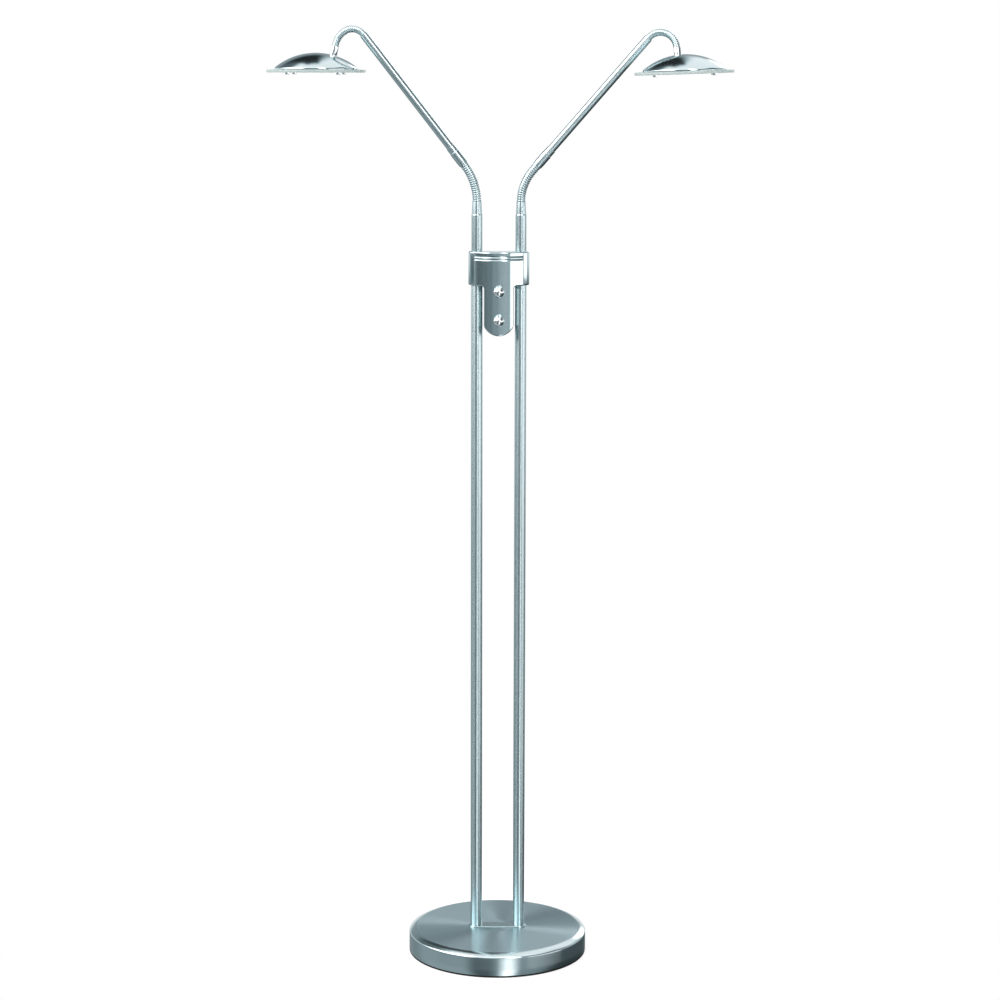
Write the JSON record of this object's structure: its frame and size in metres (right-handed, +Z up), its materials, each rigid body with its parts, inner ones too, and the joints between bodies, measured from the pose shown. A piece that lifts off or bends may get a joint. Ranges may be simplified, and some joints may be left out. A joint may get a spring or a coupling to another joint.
{
  "type": "twin-head reading floor lamp",
  "caption": "Reading floor lamp: round weighted base, twin poles, bracket with two dimmer knobs, and two flexible-neck arms with domed glass-fronted LED heads.",
  "frame": {"origin": "centre of the base, on the floor", "axes": "+Z up along the poles; -Y is the front, where the knobs are; +X to the right seen from the front"},
  "size_m": [0.6262, 0.2517, 1.2935],
  "materials": {
    "satin_nickel": "satin brushed",
    "bright_nickel": "polished",
    "cast_iron": "rough cast",
    "black_rubber": "matte",
    "zinc_steel": "zinc plated",
    "black_oxide": "black oxide",
    "white_plastic": "moulded",
    "black_plastic": "moulded",
    "lead_sheath": "soft",
    "brass": "turned",
    "circuit_board": "soldermask",
    "white_board": "soldermask",
    "aluminium": "pressed",
    "frosted_glass": "satin etched"
  },
  "bodies": {
    "stand": {"base_cover": "satin_nickel", "base_weight": "cast_iron", "base_pad": "black_rubber", "cord_grommet": "black_rubber", "foot_plate": "bright_nickel", "pole_left": "satin_nickel", "pole_right": "satin_nickel", "pole_nuts": "zinc_steel", "terminal_block": "white_plastic", "pole_leads": "lead_sheath", "bracket_body": "satin_nickel", "bracket_cover": "satin_nickel", "bracket_screws": "zinc_steel", "clamp_screws": "black_oxide", "dimmer_upper": "black_plastic", "dimmer_lower": "black_plastic", "dimmer_nuts": "zinc_steel", "dimmer_board": "circuit_board", "led_driver": "black_plastic", "neck_socket_left": "satin_nickel", "lower_neck_base_left": "satin_nickel", "neck_socket_right": "satin_nickel", "lower_neck_base_right": "satin_nickel"},
    "upper_knob": {"knob_upper": "bright_nickel", "dimmer_shaft_upper": "brass"},
    "lower_knob": {"knob_lower": "bright_nickel", "dimmer_shaft_lower": "brass"},
    "left_lower_neck": {"lower_neck_middle_left": "satin_nickel"},
    "left_arm": {"lower_neck_top_left": "satin_nickel", "arm_sleeve_left": "satin_nickel", "sleeve_screws_left": "black_oxide", "arm_tube_left": "satin_nickel", "arm_lead_left": "lead_sheath", "upper_neck_base_left": "satin_nickel"},
    "left_upper_neck": {"upper_neck_middle_left": "satin_nickel"},
    "left_head": {"upper_neck_end_left": "satin_nickel", "neck_ferrule_left": "bright_nickel", "lamp_dome_left": "satin_nickel", "neck_nut_left": "zinc_steel", "led_pan_left": "aluminium", "led_board_left": "white_board", "glass_disc_left": "frosted_glass", "glass_caps_left": "bright_nickel"},
    "right_lower_neck": {"lower_neck_middle_right": "satin_nickel"},
    "right_arm": {"lower_neck_top_right": "satin_nickel", "arm_sleeve_right": "satin_nickel", "sleeve_screws_right": "black_oxide", "arm_tube_right": "satin_nickel", "arm_lead_right": "lead_sheath", "upper_neck_base_right": "satin_nickel"},
    "right_upper_neck": {"upper_neck_middle_right": "satin_nickel"},
    "right_head": {"upper_neck_end_right": "satin_nickel", "neck_ferrule_right": "bright_nickel", "lamp_dome_right": "satin_nickel", "neck_nut_right": "zinc_steel", "led_pan_right": "aluminium", "led_board_right": "white_board", "glass_disc_right": "frosted_glass", "glass_caps_right": "bright_nickel"}
  },
  "joints": [
    {"name": "upper_knob_turn", "type": "hinge", "parent": "stand", "child": "upper_knob", "pos_m": [0, -0.036, 0.938], "axis": [0, -1, 0], "range_deg": [0, 270]},
    {"name": "lower_knob_turn", "type": "hinge", "parent": "stand", "child": "lower_knob", "pos_m": [0, -0.036, 0.8987], "axis": [0, -1, 0], "range_deg": [0, 270]},
    {"name": "left_arm_lean", "type": "hinge", "parent": "stand", "child": "left_lower_neck", "pos_m": [-0.03204, 0, 1.07614], "axis": [0, -1, 0], "range_deg": [-35, 50], "deforming": ["lower_neck_base_left", "lower_neck_middle_left"]},
    {"name": "left_arm_sway", "type": "hinge", "parent": "left_lower_neck", "child": "left_arm", "pos_m": [-0.03806, 0, 1.09307], "axis": [-0.898, 0, -0.4401], "range_deg": [-45, 45], "deforming": ["lower_neck_middle_left", "lower_neck_top_left"]},
    {"name": "left_head_nod", "type": "hinge", "parent": "left_arm", "child": "left_upper_neck", "pos_m": [-0.19707, -0.00068, 1.28871], "axis": [0.0767, -0.9953, 0.0597], "range_deg": [-60, 12], "deforming": ["upper_neck_base_left", "upper_neck_middle_left"]},
    {"name": "left_head_tilt", "type": "hinge", "parent": "left_upper_neck", "child": "left_head", "pos_m": [-0.21379, -0.00245, 1.28072], "axis": [0.7447, 0.0174, -0.6672], "range_deg": [-45, 45], "deforming": ["upper_neck_middle_left", "upper_neck_end_left"]},
    {"name": "right_arm_lean", "type": "hinge", "parent": "stand", "child": "right_lower_neck", "pos_m": [0.03253, 0, 1.07606], "axis": [0, 1, 0], "range_deg": [-35, 50], "deforming": ["lower_neck_base_right", "lower_neck_middle_right"]},
    {"name": "right_arm_sway", "type": "hinge", "parent": "right_lower_neck", "child": "right_arm", "pos_m": [0.03991, 0, 1.09241], "axis": [0.8445, 0, -0.5355], "range_deg": [-45, 45], "deforming": ["lower_neck_middle_right", "lower_neck_top_right"]},
    {"name": "right_head_nod", "type": "hinge", "parent": "right_arm", "child": "right_upper_neck", "pos_m": [0.21515, -0.00214, 1.28525], "axis": [0.2519, 0.9425, -0.2197], "range_deg": [-60, 12], "deforming": ["upper_neck_base_right", "upper_neck_middle_right"]},
    {"name": "right_head_tilt", "type": "hinge", "parent": "right_upper_neck", "child": "right_head", "pos_m": [0.23167, -0.00803, 1.27892], "axis": [-0.7053, 0.0233, -0.7085], "range_deg": [-45, 45], "deforming": ["upper_neck_middle_right", "upper_neck_end_right"]}
  ]
}
